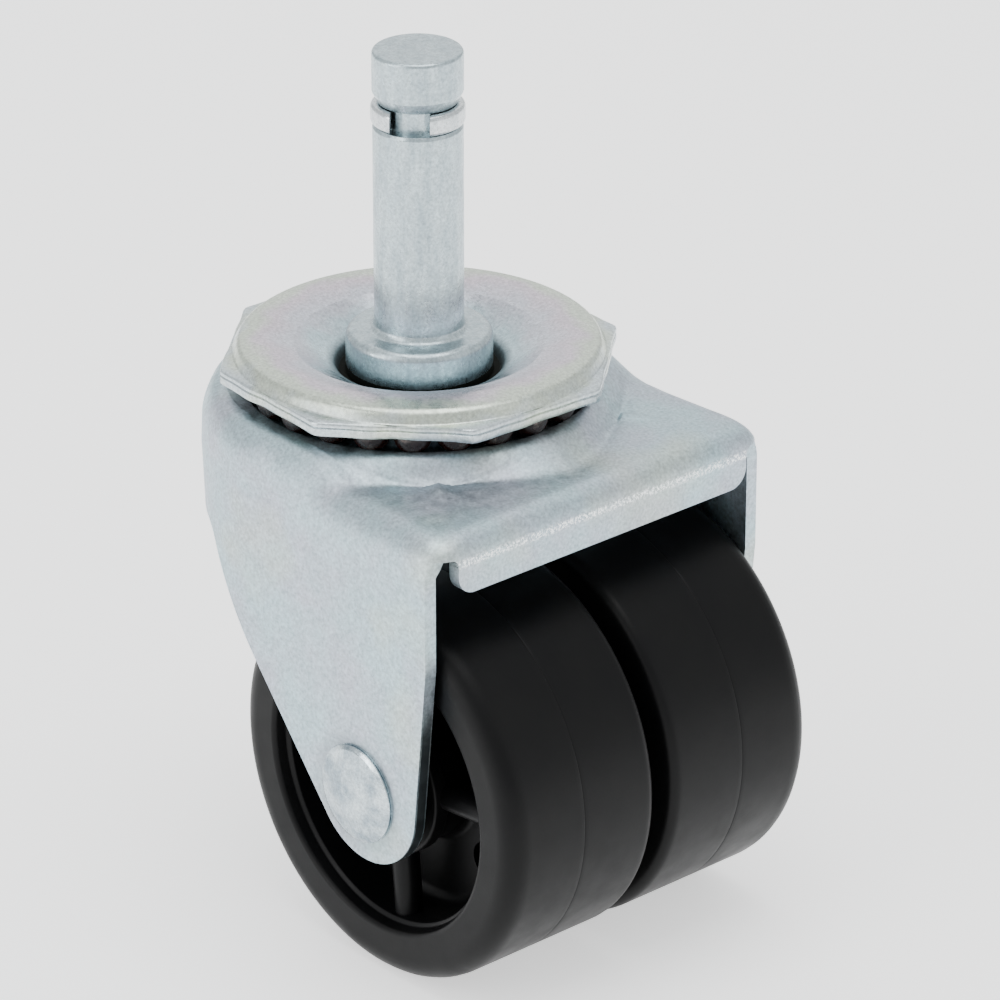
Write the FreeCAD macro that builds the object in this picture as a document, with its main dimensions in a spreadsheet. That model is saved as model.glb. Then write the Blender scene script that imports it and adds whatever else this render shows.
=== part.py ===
"""Twin-wheel swivel caster with a 7/16 inch grip-ring stem.

Frame: origin on the swivel axis at the stem seat (the top face of the stem's collar), +Z up the
stem, +X towards the wheels (the caster trails them behind the stem), +Y to the left.  Millimetres.
"""
import FreeCAD, Part
import math
import os

import Sketcher
from FreeCAD import Placement, Rotation, Vector

# ---------------------------------------------------------------- driving dimensions

SIZES = {
    # stem: one turned steel piece with the collar and the riveted kingpin tail
    "stem_radius": 5.556,
    "stem_length": 36.5,
    "head_radius": 5.6,
    "head_height": 6.6,
    "head_side": 5.1,
    "head_edge": 0.35,
    "head_foot_radius": 5.0,
    "neck_radius": 4.0,
    "groove_width": 2.9,
    "groove_edge": 0.35,
    "stem_foot_fillet": 0.45,
    "collar_radius": 9.1,
    "collar_height": 4.5,
    "collar_edge": 0.9,
    "kingpin_radius": 5.0,
    "kingpin_tail_radius": 4.0,
    "kingpin_head_radius": 6.6,
    "kingpin_head_height": 1.8,
    # split spring ring in the stem's groove
    "ring_radius": 5.8,
    "ring_wall": 1.4,
    "ring_play": 0.1,
    "ring_edge": 0.7,
    "ring_gap": 5.0,
    "ring_gap_angle": -52.0,
    # upper race: octagonal pressing that rests on the balls
    "race_sheet": 1.9,
    "race_corner_outset": 5.2,
    "race_turn": 18.9,
    "race_floor_gap": 1.2,
    "race_floor_round": 0.55,
    "race_crease_inset": 4.5,
    "race_crease_drop": 1.7,
    "race_crest_drop": 0.95,
    "race_crest_inset": 1.0,
    "race_shoulder_outset": 2.2,
    "race_brim_outset": 3.0,
    "race_brim_drop": 2.8,
    # ball bearings
    "ball_radius": 2.38,
    "ball_clearance": 0.04,
    "ball_gap": 0.3,
    "upper_track_radius": 20.2,
    "upper_ball_drop": 5.3,
    "lower_track_radius": 11.5,
    "lower_groove_depth": 0.6,
    # fork: one pressing with two legs, a rear skirt and a front flange
    "sheet": 1.7,
    "fork_half_width": 27.1,
    "fork_front": 34.0,
    "plate_drop": 9.7,
    "plate_bend": 3.6,
    "front_bend": 3.0,
    "cup_drop": 6.2,
    "cup_bend": 4.6,
    "blend_length": 15.0,
    "boss_lip_drop": 6.9,
    "boss_lip_outset": 2.8,
    "boss_foot_outset": 3.8,
    "boss_inner_inset": 3.6,
    "boss_floor_inset": 5.0,
    "boss_floor_drop": 8.0,
    "boss_floor_sheet": 1.8,
    "kingpin_hole_play": 0.6,
    "skirt_drop": 23.0,
    "flange_drop": 16.9,
    "flange_side_gap": 3.7,
    "notch_radius": 0.9,
    "leg_front_straight": 7.2,
    "leg_front_round": 16.0,
    "leg_rear_corner": 11.1,
    "leg_rear_round": 4.0,
    "leg_tip_wall": 5.28,
    "leg_tip_forward": 1.1,
    "leg_tip_up": 0.5,
    # lower race: cup washer on the kingpin
    "lower_race_outset": 4.3,
    "lower_race_sheet": 2.2,
    "lower_race_rim_height": 2.2,
    "lower_race_rim_wall": 1.3,
    # axle
    "axle_forward": 19.66,
    "axle_drop": 47.42,
    "rivet_radius": 3.97,
    "rivet_head_overhang": 2.36,
    "rivet_head_edge": 1.0,
    "rivet_head_crown": 0.65,
    "rivet_tail_overhang": 1.43,
    "rivet_tail_height": 1.6,
    "sleeve_wall": 1.55,
    "fit_play": 0.03,
    # wheels: one moulding each
    "wheel_radius": 25.4,
    "wheel_side_gap": 0.72,
    "wheel_gap_half": 1.4,
    "tread_outer_edge": 2.6,
    "tread_inner_edge": 1.3,
    "parting_groove_depth": 0.12,
    "parting_groove_width": 0.35,
    "rim_wall": 7.1,
    "recess_lip": 1.0,
    "web_sink": 8.68,
    "web_thickness": 4.0,
    "inner_rim_wall": 6.2,
    "hub_wall": 3.2,
    "hub_boss_step": 0.6,
    "hub_boss_sink": 1.68,
    "hub_boss_length": 2.0,
    "hub_nose_wall": 1.6,
    "hub_play": 0.05,
    "washer_thickness": 1.1,
    "washer_width": 1.85,
    "washer_play": 0.1,
    "spoke_radius": 1.75,
    "spoke_sink": 4.18,
    "spoke_count": 4,
    "spoke_turn": 5.0,
    "web_hole_radius": 2.3,
    "web_hole_inset": 4.3,
}

doc = FreeCAD.newDocument("twin_wheel_caster")
table = doc.addObject("Spreadsheet::Sheet", "Sizes")
for row, (name, number) in enumerate(SIZES.items(), start=1):
    table.set(f"A{row}", name)
    table.set(f"B{row}", str(number))
    table.setAlias(f"B{row}", name)
doc.recompute()


class Size:
    """A length known both as a number and as a formula of the sheet's cells."""

    def __init__(self, number, formula):
        self.number = float(number)
        self.formula = formula

    def __add__(self, other):
        other = as_size(other)
        return Size(self.number + other.number, f"({self.formula} + {other.formula})")

    def __sub__(self, other):
        other = as_size(other)
        return Size(self.number - other.number, f"({self.formula} - {other.formula})")

    def __mul__(self, other):
        other = as_size(other)
        return Size(self.number * other.number, f"({self.formula} * {other.formula})")

    def __truediv__(self, other):
        other = as_size(other)
        return Size(self.number / other.number, f"({self.formula} / {other.formula})")

    def __neg__(self):
        return Size(-self.number, f"(0 - {self.formula})")

    def whole(self):
        return Size(math.floor(self.number), f"floor({self.formula})")

    def cosine(self):
        return Size(math.cos(math.radians(self.number)), f"cos({self.formula} * 1 deg)")

    def sine(self):
        return Size(math.sin(math.radians(self.number)), f"sin({self.formula} * 1 deg)")


def as_size(value):
    if isinstance(value, Size):
        return value
    return Size(value, repr(float(value)))


class Cells:
    """Every alias of the sheet, as a Size."""

    def __getattr__(self, alias):
        return Size(table.get(alias), f"Sizes.{alias}")


size = Cells()
PARTS = {}
ALONG_RIGHT = Rotation(Vector(1, 0, 0), 90)
ALONG_LEFT = Rotation(Vector(1, 0, 0), -90)


# ---------------------------------------------------------------- drawing helpers

def bind(thing, prop, value):
    thing.setExpression(prop, as_size(value).formula)


def place(thing, x, y, z, rotation=Rotation()):
    """Put a sub-part at a point whose coordinates are sizes."""
    coords = [as_size(c) for c in (x, y, z)]
    thing.Placement = Placement(Vector(*[c.number for c in coords]), rotation)
    for axis, coord in zip("xyz", coords):
        thing.setExpression(f"Placement.Base.{axis}", coord.formula)


def new_body(name):
    body = doc.addObject("PartDesign::Body", name)
    body.Label = name
    return body


def new_sketch(body, name, plane, offset=0):
    sketch = body.newObject("Sketcher::SketchObject", name)
    support = next(f for f in body.Origin.OriginFeatures if f.Role == plane)
    sketch.AttachmentSupport = [(support, "")]
    sketch.MapMode = "FlatFace"
    if isinstance(offset, Size) or offset:
        bind(sketch, "AttachmentOffset.Base.z", offset)
    return sketch


def fix_point(sketch, geometry, end, x, y):
    """Hold a point of the sketch at a place measured from the sketch's origin."""
    for kind, value in (("DistanceX", as_size(x)), ("DistanceY", as_size(y))):
        index = sketch.addConstraint(Sketcher.Constraint(kind, -1, 1, geometry, end, value.number))
        sketch.setExpression(f"Constraints[{index}]", value.formula)


def draw_outline(sketch, corners):
    """Closed outline through corners (x, y) or (x, y, radius of the rounded corner)."""
    corners = [tuple(as_size(value) for value in corner) for corner in corners]
    points = [Vector(corner[0].number, corner[1].number, 0) for corner in corners]
    count = len(corners)
    starts, ends, rounds = [], [], []
    for k, corner in enumerate(corners):
        here, before, after = points[k], points[k - 1], points[(k + 1) % count]
        if len(corner) == 2:
            starts.append(here)
            ends.append(here)
            rounds.append(None)
            continue
        back = (before - here).normalize()
        ahead = (after - here).normalize()
        half = back.getAngle(ahead) / 2
        reach = corner[2].number / math.tan(half)
        centre = here + (back + ahead).normalize() * (corner[2].number / math.sin(half))
        first, last = here + back * reach, here + ahead * reach
        middle = centre + (here - centre).normalize() * corner[2].number
        starts.append(last)
        ends.append(first)
        rounds.append(Part.Arc(first, middle, last))
    lines = []
    for k in range(count):
        segment = Part.LineSegment(starts[k], ends[(k + 1) % count])
        lines.append(sketch.addGeometry(segment, False))
    for k, corner in enumerate(corners):
        before, after = lines[k - 1], lines[k]
        if rounds[k] is None:
            sketch.addConstraint(Sketcher.Constraint("Coincident", before, 2, after, 1))
            fix_point(sketch, after, 1, corner[0], corner[1])
            continue
        arc = sketch.addGeometry(rounds[k], False)
        arc_begin, arc_end = 1, 2
        turn = (points[k] - points[k - 1]).cross(points[(k + 1) % count] - points[k]).z
        if turn < 0:
            arc_begin, arc_end = 2, 1
        sketch.addConstraint(Sketcher.Constraint("Tangent", before, 2, arc, arc_begin))
        sketch.addConstraint(Sketcher.Constraint("Tangent", arc, arc_end, after, 1))
        index = sketch.addConstraint(Sketcher.Constraint("Radius", arc, corner[2].number))
        sketch.setExpression(f"Constraints[{index}]", corner[2].formula)
        point = sketch.addGeometry(Part.Point(points[k]), True)
        fix_point(sketch, point, 1, corner[0], corner[1])
        sketch.addConstraint(Sketcher.Constraint("PointOnObject", point, 1, before))
        sketch.addConstraint(Sketcher.Constraint("PointOnObject", point, 1, after))


def draw_circle(sketch, x, y, radius):
    x, y, radius = as_size(x), as_size(y), as_size(radius)
    circle = Part.Circle(Vector(x.number, y.number, 0), Vector(0, 0, 1), radius.number)
    geometry = sketch.addGeometry(circle, False)
    fix_point(sketch, geometry, 3, x, y)
    index = sketch.addConstraint(Sketcher.Constraint("Radius", geometry, radius.number))
    sketch.setExpression(f"Constraints[{index}]", radius.formula)


def revolve(body, name, corners, plane="XZ_Plane", angle=360, midplane=False):
    """Turn an outline about the body's Z axis."""
    sketch = new_sketch(body, name + "_profile", plane)
    draw_outline(sketch, corners)
    turning = body.newObject("PartDesign::Revolution", name)
    turning.Profile = sketch
    turning.ReferenceAxis = (sketch, ["V_Axis"])
    turning.Angle = angle
    turning.Midplane = midplane
    doc.recompute()


def groove(body, name, draw):
    """Cut a turned groove, drawn on the XZ plane by draw(sketch), about the Z axis."""
    before = body.Shape.Volume
    sketch = new_sketch(body, name + "_profile", "XZ_Plane")
    draw(sketch)
    cut = body.newObject("PartDesign::Groove", name)
    cut.Profile = sketch
    cut.ReferenceAxis = (sketch, ["V_Axis"])
    cut.Angle = 360
    doc.recompute()
    must_shrink(body, before, name)


def pocket(body, name, sketch, length, midplane=False, reverse=False):
    before = body.Shape.Volume
    cut = body.newObject("PartDesign::Pocket", name)
    cut.Profile = sketch
    bind(cut, "Length", length)
    cut.Midplane = midplane
    cut.Reversed = reverse
    doc.recompute()
    must_shrink(body, before, name)
    return cut


def pad(body, name, sketch, length, midplane=False):
    block = body.newObject("PartDesign::Pad", name)
    block.Profile = sketch
    bind(block, "Length", length)
    block.Midplane = midplane
    doc.recompute()
    return block


def must_shrink(body, before, name):
    if not body.Shape.Volume < before - 1e-4:
        raise RuntimeError(f"{name} cuts nothing")


def round_edges(body, name, feature, test, radius):
    """Round the edges of a feature that pass a test."""
    edges = [f"Edge{k}" for k, edge in enumerate(feature.Shape.Edges, start=1) if test(edge)]
    if not edges:
        raise RuntimeError(f"{name} finds no edge")
    fillet = body.newObject("PartDesign::Fillet", name)
    fillet.Base = (feature, edges)
    bind(fillet, "Radius", radius)
    doc.recompute()
    return fillet


def polar_pattern(body, name, features, sketch, count):
    pattern = body.newObject("PartDesign::PolarPattern", name)
    pattern.Originals = features
    pattern.Axis = (sketch, ["N_Axis"])
    pattern.Angle = 360
    bind(pattern, "Occurrences", count)
    body.Tip = pattern
    doc.recompute()
    return pattern


def keep(name, thing):
    thing.Label = name
    PARTS[name] = thing


def boolean(kind, name, base, tools):
    """Part::Cut, Part::Fuse or Part::Common of objects, as one object."""
    for k, tool in enumerate(tools, start=1):
        result = doc.addObject(kind, name if k == len(tools) else f"{name}_{k}")
        result.Base = base
        result.Tool = tool
        doc.recompute()
        base = result
    return base


# ---------------------------------------------------------------- places shared by several pieces

stem_top = size.stem_length
groove_top = stem_top - size.head_height
groove_bottom = groove_top - size.groove_width
race_floor = -size.collar_height
race_underside = race_floor - size.race_sheet
race_brim_bottom = -(size.race_brim_drop + size.race_sheet)
race_corner = size.upper_track_radius + size.race_corner_outset
boss_lip = size.upper_track_radius + size.boss_lip_outset
boss_foot = size.upper_track_radius + size.boss_foot_outset
track_bore = size.ball_radius + size.ball_clearance
upper_ball_z = -size.upper_ball_drop
disc_top = -size.boss_floor_drop
disc_underside = disc_top - size.boss_floor_sheet
lower_ball_z = disc_underside + size.lower_groove_depth - track_bore
lower_race_top = lower_ball_z - track_bore + size.lower_groove_depth
lower_race_bottom = lower_race_top - size.lower_race_sheet
plate_top = -size.plate_drop
plate_underside = plate_top - size.sheet
leg_inner = size.fork_half_width - size.sheet
sleeve_bore = size.rivet_radius + size.fit_play
sleeve_radius = sleeve_bore + size.sleeve_wall
hub_bore = sleeve_radius + size.hub_play
axle_z = -size.axle_drop
leg_front = size.fork_front - size.sheet
leg_tip_radius = size.rivet_radius + size.leg_tip_wall


# ---------------------------------------------------------------- stem and grip ring

def make_stem():
    body = new_body("stem")
    foot_radius = size.kingpin_head_radius
    revolve(body, "stem_turning", [
        (0, stem_top),
        (size.head_radius, stem_top, size.head_edge),
        (size.head_radius, stem_top - size.head_side),
        (size.head_foot_radius, groove_top),
        (size.neck_radius, groove_top),
        (size.neck_radius, groove_bottom),
        (size.stem_radius - size.groove_edge, groove_bottom),
        (size.stem_radius, groove_bottom - size.groove_edge),
        (size.stem_radius, 0, size.stem_foot_fillet),
        (size.collar_radius, 0, size.collar_edge),
        (size.collar_radius, race_floor),
        (size.kingpin_radius, race_floor),
        (size.kingpin_radius, lower_race_top),
        (size.kingpin_tail_radius, lower_race_top),
        (size.kingpin_tail_radius, lower_race_bottom),
        (foot_radius, lower_race_bottom),
        (foot_radius, lower_race_bottom - size.kingpin_head_height, size.kingpin_head_height * 0.9),
        (0, lower_race_bottom - size.kingpin_head_height),
    ])
    keep("stem", body)


def make_grip_ring():
    body = new_body("grip_ring")
    top = groove_top - size.ring_play
    bottom = groove_bottom + size.ring_play
    inside = size.ring_radius - size.ring_wall
    revolve(body, "ring_turning", [
        (inside, top), (size.ring_radius, top, size.ring_edge),
        (size.ring_radius, bottom, size.ring_edge), (inside, bottom)])
    sketch = new_sketch(body, "ring_gap_outline", "XY_Plane")
    half = size.ring_gap * 0.5
    draw_outline(sketch, [(0, -half), (size.ring_radius * 2, -half), (size.ring_radius * 2, half), (0, half)])
    pocket(body, "ring_gap_cut", sketch, size.stem_length * 2, midplane=True)
    body.Placement = Placement(Vector(), Rotation(Vector(0, 0, 1), size.ring_gap_angle.number))
    bind(body, "Placement.Rotation.Angle", size.ring_gap_angle)
    keep("grip_ring", body)


# ---------------------------------------------------------------- swivel bearing

def make_upper_race():
    body = new_body("upper_race")
    bore = size.kingpin_radius + size.fit_play
    crest = -size.race_crest_drop
    track = size.upper_track_radius
    floor_radius = size.collar_radius + size.race_floor_gap
    crease_radius = track - size.race_crease_inset
    crease_underside = -size.race_crease_drop - size.race_sheet
    revolve(body, "race_turning", [
        (bore, race_floor),
        (floor_radius, race_floor, (crease_radius - floor_radius) * size.race_floor_round),
        (crease_radius, -size.race_crease_drop),
        (track - size.race_crest_inset, crest, 12.0),
        (track + size.race_shoulder_outset, crest - 0.35, 1.6),
        (track + size.race_brim_outset, -size.race_brim_drop, 0.5),
        (race_corner + 1, -size.race_brim_drop),
        (race_corner + 1, race_brim_bottom),
        (track, race_brim_bottom),
        (track - track_bore, crease_underside),
        (crease_radius + 1.2, crease_underside, 2.0),
        (floor_radius + 0.8, race_underside, 2.0),
        (bore, race_underside)])
    groove(body, "race_track", lambda sketch: draw_circle(
        sketch, size.upper_track_radius, upper_ball_z, track_bore))
    sketch = new_sketch(body, "octagon", "XY_Plane")
    outside = race_corner * 2
    corners = []
    for k in range(8):
        angle = size.race_turn + 45 * k
        corners.append((race_corner * angle.cosine(), race_corner * angle.sine(), 1.0))
    draw_outline(sketch, corners)
    draw_circle(sketch, 0, 0, outside)
    pocket(body, "octagon_trim", sketch, outside, midplane=True)
    keep("upper_race", body)


def make_balls(name, track_radius, height):
    """A ring of as many loose balls as the track takes, each its own solid."""
    pitch = size.ball_radius * 2 + size.ball_gap
    count = (track_radius * (2 * math.pi) / pitch).whole()
    balls = []
    for k in range(int(count.number)):
        ball = doc.addObject("Part::Sphere", f"{name}_{k + 1}")
        bind(ball, "Radius", size.ball_radius)
        angle = as_size(360.0 * k) / count
        place(ball, track_radius * angle.cosine(), track_radius * angle.sine(), height)
        balls.append(ball)
    group = doc.addObject("Part::Compound", name)
    group.Links = balls
    keep(name, group)


def make_lower_race():
    body = new_body("lower_race")
    rim_top = lower_race_top + size.lower_race_rim_height
    radius = size.lower_track_radius + size.lower_race_outset
    rim_inside = radius - size.lower_race_rim_wall
    revolve(body, "lower_race_turning", [
        (size.kingpin_tail_radius + size.fit_play, lower_race_bottom),
        (radius, lower_race_bottom, 1.5),
        (radius, rim_top, 0.4),
        (rim_inside, rim_top, 0.4),
        (rim_inside, lower_race_top, 0.5),
        (size.kingpin_tail_radius + size.fit_play, lower_race_top)])
    groove(body, "lower_race_track", lambda sketch: draw_circle(
        sketch, size.lower_track_radius, lower_ball_z, track_bore))
    keep("lower_race", body)


# ---------------------------------------------------------------- fork

def section(half_width, top, bottom, bend):
    return [(-half_width, bottom), (half_width, bottom), (half_width, top, bend), (-half_width, top, bend)]


def yoke_form(name, inset):
    """Solid form of the yoke: rear half-round cup, sloping shoulders, flat front; inset by a wall."""
    half = size.fork_half_width - inset
    top = plate_top - inset
    cup_top = -size.cup_drop - inset
    bottom = axle_z - leg_tip_radius * 2 - inset
    body = new_body(name)
    front_sketch = new_sketch(body, name + "_front_section", "YZ_Plane", size.blend_length)
    draw_outline(front_sketch, section(half, top, bottom, size.plate_bend - inset))
    front = pad(body, name + "_front", front_sketch, size.fork_front - inset - size.blend_length)
    edge_x = (size.fork_front - inset).number
    lowest = bottom.number + 1
    round_edges(
        body, name + "_front_bend", front,
        lambda edge: edge.BoundBox.XMin > edge_x - 1e-3 and edge.BoundBox.ZMax > lowest,
        size.front_bend - inset)
    rear_sketch = new_sketch(body, name + "_cup_section", "YZ_Plane")
    draw_outline(rear_sketch, section(half, cup_top, bottom, size.cup_bend - inset))
    end_sketch = new_sketch(body, name + "_blend_section", "YZ_Plane", size.blend_length)
    draw_outline(end_sketch, section(half, top, bottom, size.plate_bend - inset))
    loft = body.newObject("PartDesign::AdditiveLoft", name + "_shoulders")
    loft.Profile = rear_sketch
    loft.Sections = [end_sketch]
    loft.Ruled = True
    doc.recompute()
    revolve(body, name + "_cup", [
        (0, bottom), (-half, bottom), (-half, cup_top, size.cup_bend - inset), (0, cup_top)],
        angle=180, midplane=True)
    return body


def race_disc():
    """Formed disc with the raised ball track, pressed into the top of the fork."""
    body = new_body("fork_disc")
    hole = size.kingpin_radius + size.kingpin_hole_play
    lip = -size.boss_lip_drop
    rim = plate_underside + 0.3
    track = size.upper_track_radius
    revolve(body, "disc_turning", [
        (hole, disc_top), (track - size.boss_floor_inset, disc_top), (track - size.boss_inner_inset, lip, 0.5),
        (boss_lip, lip, 0.8), (boss_foot, plate_top - 0.1), (boss_foot, rim), (boss_lip - 1.5, rim),
        (boss_lip - 2.5, disc_underside), (hole, disc_underside)])
    return body


def side_view():
    """The fork's outline seen from the side, as a thick block that trims the pressing."""
    body = new_body("fork_side_view")
    sketch = new_sketch(body, "side_outline", "XZ_Plane")
    tip_x = size.axle_forward + size.leg_tip_forward
    tip_z = axle_z + size.leg_tip_up
    rear = -(size.fork_half_width + 2)
    front = size.fork_front + 2
    bend_z = -(size.flange_drop + size.leg_front_straight)
    path = [
        (-size.leg_rear_corner, -size.skirt_drop),
        (rear, -size.skirt_drop),
        (rear, 0),
        (front, 0),
        (front, -size.flange_drop),
        (leg_front, -size.flange_drop),
        (leg_front, bend_z),
    ]
    path = [(as_size(x), as_size(z)) for x, z in path]
    points = [Vector(x.number, z.number, 0) for x, z in path]
    lines = [sketch.addGeometry(Part.LineSegment(a, b), False) for a, b in zip(points, points[1:])]
    for k, (x, z) in enumerate(path[:-1]):
        fix_point(sketch, lines[k], 1, x, z)
        if k:
            sketch.addConstraint(Sketcher.Constraint("Coincident", lines[k - 1], 2, lines[k], 1))
    fix_point(sketch, lines[-1], 2, *path[-1])

    tip = Vector(tip_x.number, tip_z.number, 0)
    tip_radius = leg_tip_radius.number
    bend_radius = size.leg_front_round.number
    bend = points[-1] - Vector(bend_radius, 0, 0)
    span = tip - bend
    aim = math.atan2(span.y, span.x) + math.acos((bend_radius - tip_radius) / span.Length)
    outward = Vector(math.cos(aim), math.sin(aim), 0)
    halfway = Vector(math.cos(aim / 2), math.sin(aim / 2), 0)
    bend_end, tip_start = bend + outward * bend_radius, tip + outward * tip_radius
    tip_end = tip + Vector(-0.75, -0.65, 0).normalize() * tip_radius
    front_bend = sketch.addGeometry(Part.Arc(points[-1], bend + halfway * bend_radius, bend_end), False)
    front_edge = sketch.addGeometry(Part.LineSegment(bend_end, tip_start), False)
    tip_arc = sketch.addGeometry(Part.Arc(tip_end, tip - Vector(0, tip_radius, 0), tip_start), False)
    rear_edge = sketch.addGeometry(Part.LineSegment(tip_end, points[0]), False)
    sketch.addConstraint(Sketcher.Constraint("Tangent", lines[-1], 2, front_bend, 2))
    sketch.addConstraint(Sketcher.Constraint("Tangent", front_bend, 1, front_edge, 1))
    sketch.addConstraint(Sketcher.Constraint("Tangent", front_edge, 2, tip_arc, 2))
    sketch.addConstraint(Sketcher.Constraint("Tangent", tip_arc, 1, rear_edge, 1))
    sketch.addConstraint(Sketcher.Constraint("Coincident", rear_edge, 2, lines[0], 1))
    fix_point(sketch, tip_arc, 3, tip_x, tip_z)
    for arc, radius in ((front_bend, size.leg_front_round), (tip_arc, leg_tip_radius)):
        index = sketch.addConstraint(Sketcher.Constraint("Radius", arc, radius.number))
        sketch.setExpression(f"Constraints[{index}]", radius.formula)
    block = pad(body, "side_block", sketch, size.fork_half_width * 2 + 4, midplane=True)

    def at_skirt_corner(edge):
        box = edge.BoundBox
        off = abs(box.XMin - points[0].x) + abs(box.ZMin - points[0].y)
        return box.XLength + box.ZLength + off < 1e-3

    round_edges(body, "skirt_corner", block, at_skirt_corner, size.leg_rear_round)
    return body


def notch_block(name, side):
    """Clears the corner between the front flange and one leg; side is -1 right, +1 left."""
    body = new_body(name)
    reach = size.fork_half_width + 3
    top = plate_underside - 0.6
    bottom = axle_z - leg_tip_radius * 2
    edge = size.fork_half_width - size.flange_side_gap
    sketch = new_sketch(body, name + "_outline", "YZ_Plane", leg_front)
    draw_outline(sketch, [
        (edge * side, bottom), (reach * side, bottom),
        (reach * side, top), (edge * side, top, size.notch_radius)])
    pad(body, name + "_block", sketch, size.sheet + 3)
    return body


def cylinder(name, radius, height, x=0, y=0, z=0, rotation=Rotation()):
    rod = doc.addObject("Part::Cylinder", name)
    bind(rod, "Radius", radius)
    bind(rod, "Height", height)
    place(rod, x, y, z, rotation)
    doc.recompute()
    return rod


def make_fork():
    outside = yoke_form("yoke_outside", as_size(0))
    inside = yoke_form("yoke_inside", size.sheet)
    opening = cylinder("cup_opening", boss_lip - 0.8, size.axle_drop, 0, 0, plate_underside - 0.5)
    shell = boolean("Part::Cut", "yoke_shell", outside, [inside, opening])
    pressing = boolean("Part::Fuse", "yoke_pressing", shell, [race_disc()])
    trimmed = boolean("Part::Common", "yoke_trimmed", pressing, [side_view()])
    track = doc.addObject("Part::Torus", "upper_track")
    bind(track, "Radius1", size.upper_track_radius)
    bind(track, "Radius2", track_bore)
    place(track, 0, 0, upper_ball_z)
    under_track = doc.addObject("Part::Torus", "lower_track")
    bind(under_track, "Radius1", size.lower_track_radius)
    bind(under_track, "Radius2", track_bore)
    place(under_track, 0, 0, lower_ball_z)
    reach = size.fork_half_width * 2
    axle_hole = cylinder("axle_hole", size.rivet_radius, reach * 2, size.axle_forward, reach, axle_z, ALONG_RIGHT)
    notches = [notch_block("right_notch", -1), notch_block("left_notch", 1)]
    keep("fork", boolean("Part::Cut", "fork", trimmed, notches + [track, under_track, axle_hole]))


# ---------------------------------------------------------------- axle

def on_axle(body, rotation=ALONG_RIGHT):
    """Move a piece that was turned about its own Z axis to the axle."""
    place(body, size.axle_forward, 0, axle_z, rotation)


def make_rivet():
    """Axle rivet: domed head on the right leg, spread tail on the left leg."""
    body = new_body("axle_rivet")
    half = size.fork_half_width
    edge = half + size.rivet_head_edge
    tail = half + size.rivet_tail_height
    head_radius = size.rivet_radius + size.rivet_head_overhang
    tail_radius = size.rivet_radius + size.rivet_tail_overhang
    revolve(body, "rivet_turning", [
        (0, edge + size.rivet_head_crown),
        (head_radius * 0.55, edge + size.rivet_head_crown, 6.0),
        (head_radius, edge, 0.4),
        (head_radius, half),
        (size.rivet_radius, half),
        (size.rivet_radius, -half),
        (tail_radius, -half),
        (tail_radius, -tail, size.rivet_tail_height * 0.8),
        (0, -tail)])
    on_axle(body)
    keep("axle_rivet", body)


def make_sleeve():
    body = new_body("axle_sleeve")
    half = leg_inner
    revolve(body, "sleeve_turning", [
        (sleeve_bore, half), (sleeve_radius, half), (sleeve_radius, -half), (sleeve_bore, -half)])
    on_axle(body)
    keep("axle_sleeve", body)


def make_washer(name, middle):
    """Thin spacer washer on the sleeve, middle is where it sits along the axle, right is plus."""
    body = new_body(name)
    half = size.washer_thickness * 0.5
    bore = sleeve_radius + size.fit_play
    radius = sleeve_radius + size.washer_width
    revolve(body, name + "_turning", [
        (bore, middle + half), (radius, middle + half, 0.2),
        (radius, middle - half, 0.2), (bore, middle - half)])
    on_axle(body)
    keep(name, body)


# ---------------------------------------------------------------- wheels

def make_wheel(name, rotation):
    """One moulding, turned about its own Z axis: recessed outer face at the top of the profile."""
    body = new_body(name)
    face = leg_inner - size.wheel_side_gap
    inner = size.wheel_gap_half
    parting = (face + inner) * 0.5
    groove_half = size.parting_groove_width * 0.5
    recess = size.wheel_radius - size.rim_wall
    inner_recess = size.wheel_radius - size.inner_rim_wall
    web_front = face - size.web_sink
    web_back = web_front - size.web_thickness
    hub_inner = size.washer_thickness * 0.5 + size.washer_play
    hub_outer = leg_inner - size.washer_thickness - size.washer_play * 2
    hub_radius = hub_bore + size.hub_wall
    nose_radius = hub_bore + size.hub_nose_wall
    boss_radius = hub_radius + size.hub_boss_step
    boss_face = face - size.hub_boss_sink
    boss_back = boss_face - size.hub_boss_length
    revolve(body, name + "_moulding", [
        (hub_bore, hub_outer), (nose_radius, hub_outer, 0.4),
        (nose_radius, boss_face),
        (boss_radius, boss_face, 0.5),
        (boss_radius, boss_back),
        (hub_radius, boss_back - 0.6),
        (hub_radius, web_front, 1.0),
        (recess - 0.4, web_front, 1.5),
        (recess, boss_face - 0.2),
        (recess + size.recess_lip, face, size.recess_lip * 0.8),
        (size.wheel_radius, face, size.tread_outer_edge),
        (size.wheel_radius, parting + groove_half),
        (size.wheel_radius - size.parting_groove_depth, parting),
        (size.wheel_radius, parting - groove_half),
        (size.wheel_radius, inner, size.tread_inner_edge),
        (inner_recess, inner, 0.8),
        (inner_recess - 0.6, web_back, 1.5),
        (hub_radius, web_back, 1.0),
        (hub_radius, hub_inner, 0.5),
        (hub_bore, hub_inner)])
    spoke_sketch = new_sketch(body, name + "_spoke_section", "YZ_Plane", hub_radius - 1)
    draw_circle(spoke_sketch, 0, face - size.spoke_sink, size.spoke_radius)
    spoke = pad(body, name + "_spoke", spoke_sketch, recess - hub_radius + 2)
    plan = new_sketch(body, name + "_web_hole_plan", "XY_Plane", web_front + 1)
    hole_x = (recess - size.web_hole_inset) * as_size(45).cosine()
    draw_circle(plan, hole_x, hole_x, size.web_hole_radius)
    polar_pattern(body, name + "_spokes", [spoke], plan, size.spoke_count)
    hole = pocket(body, name + "_web_hole", plan, size.web_thickness + 2)
    polar_pattern(body, name + "_web_holes", [hole], plan, size.spoke_count)
    on_axle(body, rotation.multiply(Rotation(Vector(0, 0, 1), size.spoke_turn.number)))
    keep(name, body)


# ---------------------------------------------------------------- build, check and write

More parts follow.
